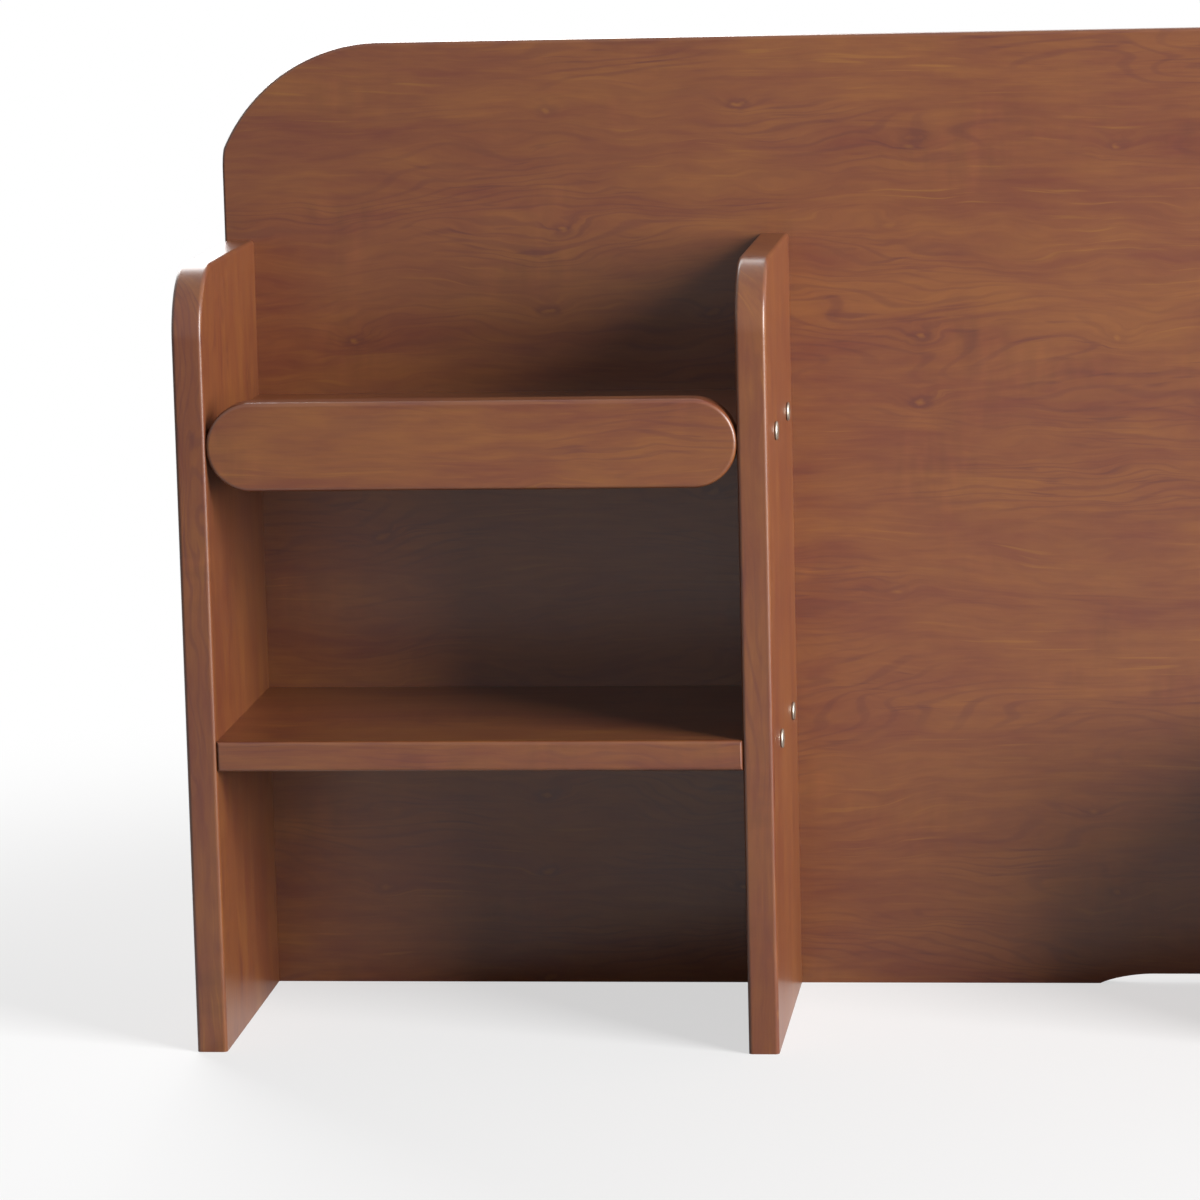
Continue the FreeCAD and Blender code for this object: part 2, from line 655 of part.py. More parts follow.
def build_tall_unit():
    """Everything of the tall unit at the left end."""
    tall_upright("left_outer_upright", "sheet.tall_outer_x", True)
    tall_upright("left_inner_upright", "sheet.tall_inner_x", False)
    shelf("left_lower_shelf", "sheet.tall_shelf_x", "sheet.lower_shelf_top",
          "sheet.tall_bay", "0", tall_shelf_screws())
    upper = shelf("left_upper_shelf", "sheet.tall_shelf_x", "sheet.upper_shelf_top",
                  "sheet.tall_bay", "sheet.rail_thickness", tall_shelf_screws())
    add_rail_bores(upper)
    front_rail()
    bolts("left_outer_side_bolts", "right", "sheet.tall_outer_x", "sheet.bolt_y",
          "sheet.lower_axis", 2)
    bolts("left_inner_side_bolts", "left", "sheet.tall_inner_x + sheet.board",
          "sheet.bolt_y + sheet.bolt_spacing", "sheet.lower_axis", 2)
    for place in ("lower", "upper"):
        barrel_nuts("left_%s_shelf_nuts" % place, "sheet.tall_inner_x",
                    "sheet.%s_shelf_top" % place, "sheet.nut_reach")
        shelf_dowels("left_%s_shelf_dowels" % place, "sheet.tall_shelf_x",
                     "sheet.%s_axis" % place, "sheet.tall_bay")
    rail_dowels()
    foot_inserts("left_foot_inserts", "sheet.tall_inner_x", "sheet.tall_bay + sheet.board")
    back_screws("left_upright_back_screws", "sheet.tall_outer_x + sheet.board / 2",
                "sheet.screw_from_end", ("sheet.tall_bay + sheet.board", 2),
                ("3 * sheet.tall_screw_step", 4))
    back_screws("left_shelf_back_screws", "sheet.tall_shelf_x + sheet.shelf_screw_inset",
                "sheet.lower_axis", ("sheet.tall_bay - 2 * sheet.shelf_screw_inset", 2),
                ("sheet.shelf_step", 2))


def build_low_unit():
    """Everything of the low unit at the right end."""
    low_upright("right_inner_upright", "sheet.low_inner_x", True)
    low_upright("right_outer_upright", "sheet.low_outer_x", False)
    shelf("right_shelf", "sheet.low_shelf_x", "sheet.lower_shelf_top",
          "sheet.low_bay", "0", low_shelf_screws())
    bolts("right_inner_side_bolts", "right", "sheet.low_inner_x", "sheet.bolt_y",
          "sheet.lower_axis", 1)
    bolts("right_outer_side_bolts", "left", "sheet.low_outer_x + sheet.board",
          "sheet.bolt_y + sheet.bolt_spacing", "sheet.lower_axis", 1)
    barrel_nuts("right_shelf_nuts", "sheet.low_outer_x", "sheet.lower_shelf_top",
                "sheet.low_nut_reach")
    shelf_dowels("right_shelf_dowels", "sheet.low_shelf_x", "sheet.lower_axis",
                 "sheet.low_bay")
    foot_inserts("right_foot_inserts", "sheet.low_outer_x", "sheet.low_bay + sheet.board")
    back_screws("right_upright_back_screws", "sheet.low_inner_x + sheet.board / 2",
                "sheet.screw_from_end", ("sheet.low_bay + sheet.board", 2),
                ("sheet.low_screw_step", 2))
    back_screws("right_shelf_back_screws", "sheet.low_shelf_x + sheet.low_shelf_screw_inset",
                "sheet.lower_axis", ("sheet.low_bay - 2 * sheet.low_shelf_screw_inset", 3),
                ("0", 1))


def check_and_export():
    """Refuse a faulty body, then write every body to its own STEP file."""
    doc.recompute()
    for item in doc.Objects:
        if "Invalid" in item.State or "Error" in item.State:
            raise RuntimeError("%s did not compute" % item.Label)
    os.makedirs("parts", exist_ok=True)
    for body in doc.findObjects("PartDesign::Body"):
        if body.Shape.isNull() or not body.Shape.isValid():
            raise RuntimeError("%s has a faulty shape" % body.Label)
        body.Shape.exportStep("parts/%s.step" % body.Label)
        print("%-28s %2d solids  %9.0f mm3"
              % (body.Label, len(body.Shape.Solids), body.Shape.Volume))


back_panel()
build_tall_unit()
build_low_unit()
check_and_export()
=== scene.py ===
"""Looks of a cherry-stained desk hutch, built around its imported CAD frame.

The hutch is a tall back panel that carries a two-shelf unit at its left end and a
low shelf at its right end.  Every length is in metres, X runs to the right, Y to
the rear and Z up, and the origin is the middle of the foot print on the desk top.
"""

import itertools
import logging
import math
from dataclasses import dataclass, field
from enum import Enum
from typing import Callable, Sequence

import bmesh
import bpy
from mathutils import Matrix, Vector


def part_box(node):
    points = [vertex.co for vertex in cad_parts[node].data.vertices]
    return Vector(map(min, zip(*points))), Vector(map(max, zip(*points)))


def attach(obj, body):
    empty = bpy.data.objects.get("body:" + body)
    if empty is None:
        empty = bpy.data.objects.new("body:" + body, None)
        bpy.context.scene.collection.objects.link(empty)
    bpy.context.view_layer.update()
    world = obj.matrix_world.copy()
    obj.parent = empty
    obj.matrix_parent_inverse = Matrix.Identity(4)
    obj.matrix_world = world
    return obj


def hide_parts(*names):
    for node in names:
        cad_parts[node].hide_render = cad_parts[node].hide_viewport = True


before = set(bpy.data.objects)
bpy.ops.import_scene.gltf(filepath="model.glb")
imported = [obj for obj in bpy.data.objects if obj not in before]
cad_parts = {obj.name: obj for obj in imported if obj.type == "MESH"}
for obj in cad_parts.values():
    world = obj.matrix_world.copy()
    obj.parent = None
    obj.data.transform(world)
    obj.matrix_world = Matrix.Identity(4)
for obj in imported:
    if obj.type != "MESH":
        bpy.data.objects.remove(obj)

LOG = logging.getLogger("hutch")
BODY = "root"
MM = 0.001
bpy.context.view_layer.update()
WHITE = (1.0, 1.0, 1.0, 1.0)
BORE_STEPS = 32
BORE_PLAY = 0.1 * MM
MERGE_REACH = 0.01 * MM
UP = Vector((0.0, 0.0, 1.0))
FORWARDS = Vector((0.0, -1.0, 0.0))

Edge = bmesh.types.BMEdge
Face = bmesh.types.BMFace
Piece = bpy.types.Object
Owner = bpy.types.Material | bpy.types.World
Colour = tuple[float, float, float]
Rate = tuple[float, float, float]
Profile = Sequence[tuple[float, float]]


def near(first: float, second: float, slack: float = 0.02 * MM) -> bool:
    """Whether two lengths agree."""
    return abs(first - second) < slack


def measure(node: str) -> tuple[Vector, Vector]:
    """The lowest and highest corner of a CAD node as vectors."""
    low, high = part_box(node)
    return Vector(low), Vector(high)


@dataclass(frozen=True)
class Grid:
    """The equal fasteners of one CAD node, counted along X, Y and Z."""

    node: str
    radius: float
    counts: tuple[int, int, int]

    def places(self) -> list[Vector]:
        """Spread the fasteners evenly over the node's box.

        Returns:
            The middle of every fastener.
        """
        lines = [
            self.spread(start + self.radius, end - self.radius, count)
            for start, end, count in zip(*measure(self.node), self.counts)
        ]
        return [Vector(place) for place in itertools.product(*lines)]

    @staticmethod
    def spread(start: float, end: float, count: int) -> list[float]:
        """Spread places evenly between two ends.

        Args:
            start: The first place.
            end: The last place.
            count: How many places there are.

        Returns:
            The places, or just the middle for a count of one.
        """
        if count == 1:
            return [(start + end) / 2]
        return [start + (end - start) * number / (count - 1) for number in range(count)]


# ---- Shader maths ----


class Value:
    """A shader socket that carries a number and answers to +, - and *."""

    def __init__(self, tree: "ShaderTree", socket: bpy.types.NodeSocket) -> None:
        """Wrap one output socket of a node in the given tree."""
        self.tree = tree
        self.socket = socket

    def _math(self, operation: str, *operands: "Value | float") -> "Value":
        """A Math node on the given operands."""
        return self.tree.node(
            "ShaderNodeMath", {"operation": operation}, dict(enumerate(operands))
        )

    def __add__(self, other: "Value | float") -> "Value":
        """The sum."""
        return self._math("ADD", self, other)

    __radd__ = __add__

    def __sub__(self, other: "Value | float") -> "Value":
        """The difference."""
        return self._math("SUBTRACT", self, other)

    def __rsub__(self, other: float) -> "Value":
        """The difference, taken from a plain number."""
        return self._math("SUBTRACT", other, self)

    def __mul__(self, other: "Value | float") -> "Value":
        """The product."""
        return self._math("MULTIPLY", self, other)

    __rmul__ = __mul__

    def sibling(self, name: str) -> "Value":
        """Another output of the same node."""
        return Value(self.tree, self.socket.node.outputs[name])

    def sine(self) -> "Value":
        """The sine."""
        return self._math("SINE", self)

    def larger(self, other: "Value | float") -> "Value":
        """The larger of this and another number."""
        return self._math("MAXIMUM", self, other)

    def ramp(self, low: float, high: float, start: float = 0.0, end: float = 1.0) -> "Value":
        """Run smoothly from start to end while this runs from low to high.

        Args:
            low: The value at which the result leaves start.
            high: The value at which the result reaches end.
            start: The result up to low.
            end: The result from high on.

        Returns:
            The eased value.
        """
        return self.tree.node(
            "ShaderNodeMapRange",
            {"interpolation_type": "SMOOTHSTEP"},
            {0: self, 1: low, 2: high, 3: start, 4: end},
        )


class ShaderTree:
    """The node tree of one material or of the surround."""

    def __init__(self, owner: Owner) -> None:
        """Empty the tree.

        Args:
            owner: The new material or world that the tree belongs to.
        """
        self.owner = owner
        owner.use_nodes = True
        self.nodes = owner.node_tree.nodes
        self.links = owner.node_tree.links
        self.nodes.clear()

    def node(
        self, kind: str, settings: dict | None = None, inputs: dict | None = None,
        output: int | str = 0,
    ) -> Value:
        """Add a node of any kind.

        Args:
            kind: The node's type name.
            settings: Properties, which are set before the sockets are filled.
            inputs: Numbers, tuples or other nodes' values, by socket name or number.
            output: The name or number of the socket to hand back.

        Returns:
            The wrapped output socket.
        """
        made = self.nodes.new(kind)
        for key, setting in (settings or {}).items():
            setattr(made, key, setting)
        for key, content in (inputs or {}).items():
            socket = made.inputs[key]
            if isinstance(content, Value):
                self.links.new(content.socket, socket)
            else:
                socket.default_value = content
        return Value(self, made.outputs[output])

    def mix(self, share: Value | float, first: Value | Colour, second: Value | Colour) -> Value:
        """Blend two colours; a share of 1 gives the second."""
        inputs = {0: share, 6: self._rgba(first), 7: self._rgba(second)}
        return self.node("ShaderNodeMix", {"data_type": "RGBA"}, inputs, output=2)

    @staticmethod
    def _rgba(colour: Value | Colour) -> Value | tuple[float, ...]:
        """A plain colour with its alpha added; a linked one as it is."""
        return colour if isinstance(colour, Value) else (*colour, 1.0)

    def tint(self, colour: Value, amount: Value) -> Value:
        """Brighten or darken a colour by a number that varies over the surface."""
        return self.node("ShaderNodeVectorMath", {"operation": "SCALE"}, {0: colour, "Scale": amount})

    def noise(self, place: Value, detail: float = 2.0, roughness: float = 0.5) -> Value:
        """Noise of about 0.5 at a place whose scale is already worked in."""
        inputs = {"Vector": place, "Scale": 1.0, "Detail": detail, "Roughness": roughness}
        return self.node("ShaderNodeTexNoise", None, inputs)

    def place(self, along: Value | float, across: Value | float, depth: Value | float) -> Value:
        """A point made of three numbers."""
        return self.node("ShaderNodeCombineXYZ", None, {0: along, 1: across, 2: depth})

    def coordinates(self) -> Value:
        """The place in the object's own coordinates."""
        return self.node("ShaderNodeTexCoord", None, None, "Object")

    def seen_directly(self) -> tuple[Value, Value]:
        """Tell the rays apart that show a thing as it is.

        Returns:
            1 for camera rays, and 1 for camera, glossy and transmission rays.
        """
        camera = self.node("ShaderNodeLightPath", None, None, "Is Camera Ray")
        glossy = camera.sibling("Is Glossy Ray")
        clear = camera.sibling("Is Transmission Ray")
        return camera, camera.larger(glossy).larger(clear)

    def finish(self, shader: Value, output: str = "ShaderNodeOutputMaterial") -> Owner:
        """Join the last shader to the output and hand over what the tree belongs to."""
        end = self.nodes.new(output)
        self.links.new(shader.socket, end.inputs["Surface"])
        return self.owner


@dataclass(frozen=True)
class Spot:
    """A place in the wood: along the grain, across it and into the board."""

    tree: ShaderTree
    along: Value
    across: Value
    depth: Value

    def noise(
        self, rate: Rate, detail: float = 2.0, roughness: float = 0.5, shift: float = 0.0
    ) -> Value:
        """Noise about this place.

        Args:
            rate: Waves per metre along, across and into the board.
            detail: How many finer waves are laid over the first.
            roughness: How strong the finer waves are.
            shift: How far the pattern is moved into the board, in waves.

        Returns:
            Noise of about 0.5.
        """
        depth = self.depth * rate[2]
        if shift:
            depth = depth + shift
        place = self.tree.place(self.along * rate[0], self.across * rate[1], depth)
        return self.tree.noise(place, detail, roughness)


# ---- Finishes ----


class Grain(Enum):
    """How a board lies: its axes along the grain, across it and through its thickness."""

    LONG_PANEL = ("X", "Z", "Y")
    LONG_SHELF = ("X", "Y", "Z")
    STANDING = ("Z", "Y", "X")


@dataclass(frozen=True)
class Cherry:
    """Cherry-stained wood under satin lacquer.

    Each rate gives waves per metre along the grain, across it and into the board.
    """

    red_brown: Colour = (0.146, 0.0390, 0.0195)
    ochre: Colour = (0.222, 0.0790, 0.0240)
    umber: Colour = (0.098, 0.0240, 0.0195)
    honey: Colour = (0.280, 0.1180, 0.0270)
    sway: float = 0.034
    ripple: float = 0.022
    knot_push: float = 0.006
    knot_reach: float = 0.20
    heart: float = 0.040
    rim: float = 0.095
    cloud_gain: float = 0.85
    patch_gain: float = 1.45
    streak_gain: float = 1.45
    band_gain: float = 0.11
    line_gain: float = 0.36
    figure_gain: float = 0.60
    dark_gain: float = 0.55
    bright_gain: float = 0.45
    fibre_gain: float = 0.045
    drift: float = 3.2
    band_rate: float = 19.0
    rings_per_band: float = 8.0
    fine_detail: float = 4.0
    fine_roughness: float = 0.62
    sway_rate: Rate = (3.6, 15.0, 5.0)
    unrest_rate: Rate = (3.4, 12.0, 6.0)
    ripple_rate: Rate = (14.0, 40.0, 14.0)
    busy_rate: Rate = (6.0, 26.0, 9.0)
    drift_rate: Rate = (2.6, 11.0, 8.0)
    cloud_rate: Rate = (4.2, 13.0, 9.0)
    patch_rate: Rate = (12.0, 42.0, 20.0)
    streak_rate: Rate = (24.0, 190.0, 90.0)
    dark_rate: Rate = (26.0, 380.0, 60.0)
    bright_rate: Rate = (16.0, 420.0, 60.0)
    bright_shift: float = 0.4375
    mark_rate: Rate = (95.0, 22.0, 22.0)
    figure_rate: Rate = (11.0, 14.0, 12.0)
    fibre_rate: Rate = (22.0, 620.0, 620.0)
    pore_rate: Rate = (9.0, 130.0, 130.0)
    sheen_rate: Rate = (7.0, 9.0, 9.0)
    wobble_rate: Rate = (75.0, 140.0, 0.0)
    wobble: tuple[float, float] = (0.013, 0.006)
    knot_rate: tuple[float, float] = (9.0, 17.0)
    knot_scatter: float = 0.6
    slant: float = 0.9
    seed_slip: float = 0.37
    pore_strength: float = 0.05
    pore_depth: float = 0.5 * MM
    roughness: float = 0.30
    sheen_range: tuple[float, float] = (-0.02, 0.03)
    lacquer_ior: float = 1.58

    def material(
        self, name: str, grain: Grain, seed: float, tone_and_painted_light: float = 1.0
    ) -> bpy.types.Material:
        """Make the material of one board.

        Args:
            name: The material's name.
            grain: How the board lies.
            seed: A shift along the grain, so that no two boards match.
            tone_and_painted_light: How much lighter than the rest the board is: partly the board's
                own tone, partly painted light, since lighter front boards and a darker panel stand in
                for how brightly each is lit.

        Returns:
            The material, on Object coordinates.
        """
        tree = ShaderTree(bpy.data.materials.new(name))
        straight = self._lie(tree, grain, seed)
        distance, kept = self._knots(straight)
        sway = straight.noise(self.sway_rate, shift=seed)
        swirl = distance.ramp(0.0, self.knot_reach, 1.0, 0.0) * kept
        bent = self._bend(straight, sway, swirl, seed)
        busy = bent.noise(self.busy_rate, 3.0)
        colour = self._body_colour(bent, busy)
        colour = self._flecks(bent, colour, busy)
        colour = self._figure(straight, colour)
        rim = distance.ramp(0.015, self.heart) * distance.ramp(self.heart, self.rim, 1.0, 0.0)
        colour = tree.mix(rim * kept * sway.ramp(0.35, 0.65, 0.15, 0.60), colour, self.umber)
        heart = distance.ramp(0.0, self.heart, 0.40, 0.0) * kept
        colour = tree.mix(heart, colour, self.honey)
        # The tone factor carries painted light too: it makes each board brighter or darker by how it
        # is lit.
        low, high = (tone_and_painted_light - self.fibre_gain * tone_and_painted_light, tone_and_painted_light + self.fibre_gain * tone_and_painted_light)
        colour = tree.tint(colour, bent.noise(self.fibre_rate).ramp(0.25, 0.75, low, high))
        return self._lacquer(bent, straight, colour)

    def _lie(self, tree: ShaderTree, grain: Grain, seed: float) -> Spot:
        """Read the place in the board, before the grain is bent.

        Args:
            tree: The material's nodes.
            grain: How the board lies.
            seed: A shift along the grain.

        Returns:
            The place, slanted so that the grain runs out over the board's edges.
        """
        coordinates = tree.coordinates()
        along, across, depth = (
            tree.node("ShaderNodeSeparateXYZ", None, {0: coordinates}, axis)
            for axis in grain.value
        )
        slanted = across + depth * self.slant + self.seed_slip * seed
        return Spot(tree, along + seed, slanted, depth)

    def _bend(self, straight: Spot, sway: Value, swirl: Value, seed: float) -> Spot:
        """Bend the grain.

        Args:
            straight: The place before.
            sway: Slow noise that moves the grain from side to side.
            swirl: 1 at a knot, falling to 0 away from it.
            seed: A shift of the restless places.

        Returns:
            The place with the grain bent about it.
        """
        restless = straight.noise(self.unrest_rate, shift=seed).ramp(0.42, 0.62, 0.15, 1.0)
        ripple = straight.noise(self.ripple_rate)
        across = (
            straight.across
            + (sway - 0.5) * self.sway
            + (ripple - 0.5) * restless * self.ripple
            + swirl * self.knot_push
        )
        return Spot(straight.tree, straight.along, across, straight.depth)

    def _knots(self, straight: Spot) -> tuple[Value, Value]:
        """Places of the pin knots.

        Args:
            straight: The place before the grain is bent.

        Returns:
            The distance from the nearest knot's heart, and 1 where that knot is kept.
        """
        tree = straight.tree
        wobble = straight.noise(self.wobble_rate) - 0.5
        along = straight.along + wobble * self.wobble[0]
        across = straight.across + wobble * self.wobble[1]
        place = tree.place(along * self.knot_rate[0], across * self.knot_rate[1], 0.0)
        distance = tree.node(
            "ShaderNodeTexVoronoi",
            {"voronoi_dimensions": "2D"},
            {"Vector": place, "Scale": 1.0, "Randomness": self.knot_scatter},
            "Distance",
        )
        tag = distance.sibling("Color")
        draw = tree.node("ShaderNodeSeparateXYZ", None, {0: tag}, "X")
        return distance, draw.ramp(0.52, 0.60)

    def _body_colour(self, bent: Spot, busy: Value) -> Value:
        """Hazy patches, streaks and ring lines that follow the bent grain.

        Args:
            bent: The place in the bent grain.
            busy: Noise that gathers the lines in some places.

        Returns:
            The colour.
        """
        tree = bent.tree
        turns = bent.across * self.band_rate + (bent.noise(self.drift_rate, 3.0) - 0.5) * self.drift
        clouds = bent.noise(self.cloud_rate, 3.0)
        patches = bent.noise(self.patch_rate, self.fine_detail, self.fine_roughness)
        streaks = bent.noise(self.streak_rate, self.fine_detail, self.fine_roughness)
        share = (
            0.5
            + (clouds - 0.5) * self.cloud_gain
            + (patches - 0.5) * self.patch_gain
            + (streaks - 0.5) * self.streak_gain
            + (turns * math.tau).sine() * self.band_gain
        )
        colour = tree.mix(share, self.red_brown, self.ochre)
        rings = (turns * math.tau * self.rings_per_band).sine().ramp(0.30, 1.0)
        return tree.mix(rings * busy.ramp(0.44, 0.62) * self.line_gain, colour, self.umber)

    def _flecks(self, bent: Spot, colour: Value, busy: Value) -> Value:
        """Short thin dark and bright lines along the grain.

        Args:
            bent: The place in the bent grain.
            colour: The colour so far.
            busy: Noise: dark lines lie where it is high, bright ones where it is low.

        Returns:
            The colour with the lines.
        """
        moved = Spot(bent.tree, bent.along + self.bright_shift, bent.across, bent.depth)
        marks = bent.noise(self.dark_rate).ramp(0.58, 0.72)
        gleams = moved.noise(self.bright_rate).ramp(0.58, 0.72)
        dark = marks * busy.ramp(0.50, 0.62) * self.dark_gain
        bright = gleams * busy.ramp(0.38, 0.52, 1.0, 0.0) * self.bright_gain
        return bent.tree.mix(bright, bent.tree.mix(dark, colour, self.umber), self.honey)

    def _figure(self, straight: Spot, colour: Value) -> Value:
        """Faint soft marks that cross the grain, here and there.

        Args:
            straight: The place before the grain is bent.
            colour: The colour so far.

        Returns:
            The colour with the marks.
        """
        marks = straight.noise(self.mark_rate)
        strength = straight.noise(self.figure_rate).ramp(0.50, 0.72, 0.0, self.figure_gain)
        return straight.tree.tint(colour, (marks - 0.5) * strength + 1.0)

    def _lacquer(self, bent: Spot, straight: Spot, colour: Value) -> bpy.types.Material:
        """Lay satin lacquer over the coloured wood.

        Args:
            bent: The place in the bent grain, for the pores.
            straight: The place before the grain is bent, for the sheen.
            colour: The wood's colour.

        Returns:
            The finished material.
        """
        tree = bent.tree
        pores = bent.noise(self.pore_rate, 1.0)
        relief = {"Strength": self.pore_strength, "Distance": self.pore_depth, "Height": pores}
        low, high = (self.roughness + step for step in self.sheen_range)
        inputs = {
            "Base Color": colour,
            "Roughness": straight.noise(self.sheen_rate).ramp(0.3, 0.7, low, high),
            "IOR": self.lacquer_ior,
            "Normal": tree.node("ShaderNodeBump", None, relief, "Normal"),
        }
        return tree.finish(tree.node("ShaderNodeBsdfPrincipled", None, inputs))


@dataclass(frozen=True)
class Plated:
    """Plated steel with a fine satin turning."""

    colour: Colour
    roughness: float
    stain: Colour = (0.42, 0.36, 0.27)
    stain_share: float = 0.35
    grain_rate: float = 900.0
    stain_rate: float = 160.0
    rougher: tuple[float, float] = (-0.05, 0.08)

    def material(self, name: str) -> bpy.types.Material:
        """Make the material.

        Args:
            name: The material's name.

        Returns:
            The material, on Object coordinates.
        """
        tree = ShaderTree(bpy.data.materials.new(name))
        grains = self._noise(tree, self.grain_rate, 2.0)
        stains = self._noise(tree, self.stain_rate, 3.0)
        stained = tree.mix(stains.ramp(0.35, 0.7, 0.0, self.stain_share), self.colour, self.stain)
        low, high = (self.roughness + step for step in self.rougher)
        inputs = {
            "Base Color": tree.tint(stained, grains.ramp(0.3, 0.7, 0.94, 1.04)),
            "Metallic": 1.0,
            "Roughness": stains.ramp(0.3, 0.7, low, high),
        }
        return tree.finish(tree.node("ShaderNodeBsdfPrincipled", None, inputs))

    @staticmethod
    def _noise(tree: ShaderTree, rate: float, detail: float) -> Value:
        """Noise with as many waves per metre in all directions."""
        inputs = {0: tree.coordinates(), "Scale": rate}
        return tree.noise(tree.node("ShaderNodeVectorMath", {"operation": "SCALE"}, inputs), detail)


@dataclass(frozen=True)
class Beech:
    """Bare beech of the dowels."""

    pale: Colour = (0.60, 0.42, 0.25)
    dark: Colour = (0.42, 0.26, 0.14)
    ray_rate: Rate = (60.0, 900.0, 900.0)
    roughness: float = 0.6

    def material(self, name: str) -> bpy.types.Material:
        """Make the material.

        Args:
            name: The material's name.

        Returns:
            The material, on Object coordinates.
        """
        tree = ShaderTree(bpy.data.materials.new(name))
        coordinates = tree.coordinates()
        axes = (tree.node("ShaderNodeSeparateXYZ", None, {0: coordinates}, axis) for axis in "XYZ")
        rays = Spot(tree, *axes).noise(self.ray_rate)
        inputs = {
            "Base Color": tree.mix(rays.ramp(0.35, 0.65), self.pale, self.dark),
            "Roughness": self.roughness,
        }
        return tree.finish(tree.node("ShaderNodeBsdfPrincipled", None, inputs))


CHERRY = Cherry()
NICKEL = Plated(colour=(0.54, 0.51, 0.44), roughness=0.40)
ZINC = Plated(colour=(0.62, 0.63, 0.65), roughness=0.38)
YELLOW_ZINC = Plated(colour=(0.70, 0.60, 0.36), roughness=0.35)
BEECH = Beech()


# ---- Modelling moves ----


class Bench:
    """Modelling moves that all the pieces share."""

    @staticmethod
    def clear() -> None:
        """Leave edit mode and deselect everything."""
        if bpy.context.object and bpy.context.object.mode != "OBJECT":
            bpy.ops.object.mode_set(mode="OBJECT")
        bpy.ops.object.select_all(action="DESELECT")

    @staticmethod
    def block(name: str, low: Vector, high: Vector) -> Piece:
        """Add a cube primitive that fills a box.

        Args:
            name: The piece's name.
            low: The box's lowest corner.
            high: The box's highest corner.

        Returns:
            The block, in object mode.
        """
        Bench.clear()
        bpy.ops.mesh.primitive_cube_add(size=1.0, location=(low + high) / 2)
        piece = bpy.context.object
        piece.name = name
        piece.data.name = name
        piece.scale = high - low
        bpy.ops.object.transform_apply(location=True, rotation=True, scale=True)
        return piece

    @staticmethod
    def dot(name: str, place: Vector) -> Piece:
        """Start a piece as one point.

        Args:
            name: The piece's name.
            place: Where the point lies.

        Returns:
            The piece, in edit mode with its point selected.
        """
        Bench.clear()
        bpy.ops.mesh.primitive_plane_add(size=MM, location=place)
        piece = bpy.context.object
        piece.name = name
        bpy.ops.object.transform_apply(location=True, rotation=True, scale=True)
        bpy.ops.object.mode_set(mode="EDIT")
        bpy.ops.mesh.select_mode(type="VERT")
        bpy.ops.mesh.select_all(action="SELECT")
        bpy.ops.mesh.merge(type="CENTER")
        return piece

    @staticmethod
    def merge(reach: float = MERGE_REACH) -> None:
        """Select all of the piece in edit mode and merge its doubled points."""
        bpy.ops.mesh.select_all(action="SELECT")
        bpy.ops.mesh.remove_doubles(threshold=reach)

    @staticmethod
    def pick(piece: Piece, kind: str, wanted: Callable[[Edge | Face], bool]) -> int:
        """Enter edit mode with just the wanted edges or faces selected.

        Args:
            piece: The piece to work on.
            kind: "EDGE" or "FACE".
            wanted: The test that an edge or a face has to pass.

        Returns:
            How many were selected.
        """
        bpy.context.view_layer.objects.active = piece
        if piece.mode != "EDIT":
            bpy.ops.object.mode_set(mode="EDIT")
        bpy.ops.mesh.select_mode(type=kind)
        bpy.ops.mesh.select_all(action="DESELECT")
        mesh = bmesh.from_edit_mesh(piece.data)
        chosen = [part for part in (mesh.edges if kind == "EDGE" else mesh.faces) if wanted(part)]
        for part in chosen:
            part.select_set(True)
        bmesh.update_edit_mesh(piece.data)
        return len(chosen)

    @staticmethod
    def round_edges(
        piece: Piece, wanted: Callable[[Edge], bool], radius: float, steps: int
    ) -> None:
        """Bevel edges to a radius.

        Args:
            piece: The piece to work on.
            wanted: The test that an edge has to pass.
            radius: The bevel's width.
            steps: How many faces the round takes.
        """
        if not Bench.pick(piece, "EDGE", wanted):
            raise ValueError(f"no edge of {piece.name} to round")
        bpy.ops.mesh.bevel(
            offset=radius, segments=steps, affect="EDGES", clamp_overlap=False, profile=0.5
        )
        Bench.merge()
        bpy.ops.object.mode_set(mode="OBJECT")

    @staticmethod
    def lathe(name: str, profile: Profile, steps: int) -> Piece:
        """Turn a profile about the X axis.

        Args:
            name: The piece's name.
            profile: Places along X and away from it, from one end to the other.
            steps: How many steps one turn takes.

        Returns:
            The closed solid, in object mode.
        """
        piece = Bench.dot(name, Vector((*profile[0], 0)))
        for start, end in zip(profile, profile[1:]):
            step = (end[0] - start[0], end[1] - start[1], 0)
            bpy.ops.mesh.extrude_region_move(TRANSFORM_OT_translate={"value": step})
        bpy.ops.mesh.select_all(action="SELECT")
        bpy.ops.mesh.spin(steps=steps, angle=math.tau, center=(0, 0, 0), axis=(1, 0, 0))
        Bench.merge()
        bpy.ops.mesh.normals_make_consistent(inside=False)
        bpy.ops.object.mode_set(mode="OBJECT")
        return piece

    @staticmethod
    def carve(piece: Piece, cutter: Piece) -> None:
        """Cut one piece out of another with an exact boolean.

        Args:
            piece: The piece that is cut.
            cutter: What is cut out of it; it is thrown away afterwards.
        """
        Bench.clear()
        bpy.context.view_layer.objects.active = piece
        cut = piece.modifiers.new("recess", "BOOLEAN")
        cut.operation = "DIFFERENCE"
        cut.solver = "EXACT"
        cut.object = cutter
        bpy.ops.object.modifier_apply(modifier=cut.name)
        bpy.data.objects.remove(cutter)
        bpy.ops.object.mode_set(mode="EDIT")
        Bench.merge(2 * MERGE_REACH)
        bpy.ops.mesh.dissolve_degenerate(threshold=MERGE_REACH)
        bpy.ops.object.mode_set(mode="OBJECT")

